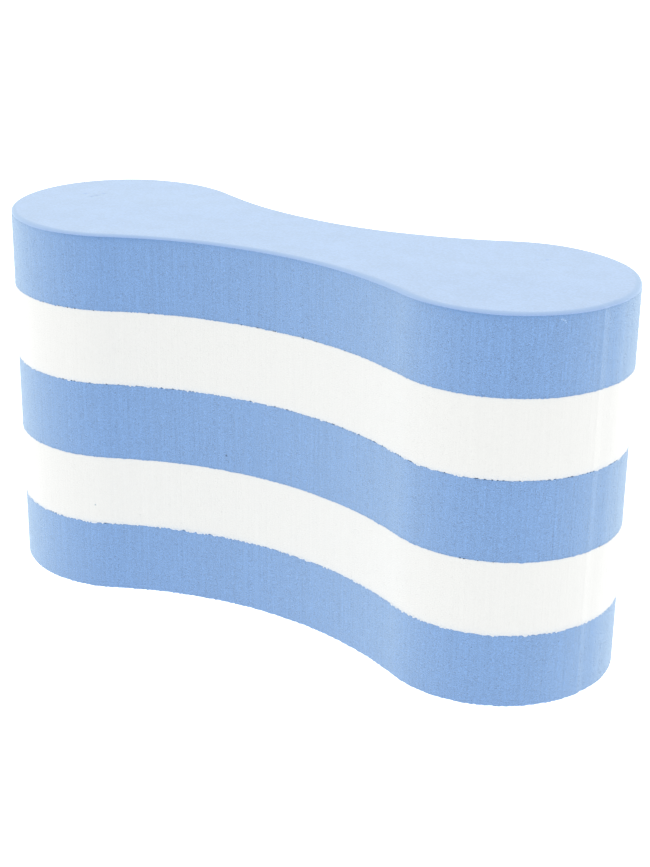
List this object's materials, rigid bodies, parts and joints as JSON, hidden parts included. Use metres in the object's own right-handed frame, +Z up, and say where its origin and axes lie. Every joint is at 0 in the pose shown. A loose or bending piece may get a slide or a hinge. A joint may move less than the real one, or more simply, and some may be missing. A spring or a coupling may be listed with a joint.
{
  "type": "pull buoy",
  "caption": "Figure-eight swimming pull buoy float of bonded foam sheets, cut to one outline with round lobes and hollows for the thighs.",
  "frame": {"origin": "middle of the flat underside, which the float stands on", "axes": "+Z up through the foam sheets, +X along the float's length from lobe to lobe, +Y across it"},
  "size_m": [0.23, 0.08, 0.13],
  "materials": {
    "blue_foam": "light blue closed-cell EVA foam: smooth matt skin on the broad faces, fine open cells and faint cut streaks on the sides",
    "white_foam": "white closed-cell EVA foam with fine cut cells on the sides",
    "adhesive": "thin dried contact adhesive between the sheets, seen only as a broken dark blue line"
  },
  "bodies": {
    "root": {"bottom_blue_sheet": "blue_foam", "bottom_bond_film": "adhesive", "lower_white_sheet": "white_foam", "lower_bond_film": "adhesive", "middle_blue_sheet": "blue_foam", "upper_bond_film": "adhesive", "upper_white_sheet": "white_foam", "top_bond_film": "adhesive", "top_blue_sheet": "blue_foam"}
  },
  "joints": []
}
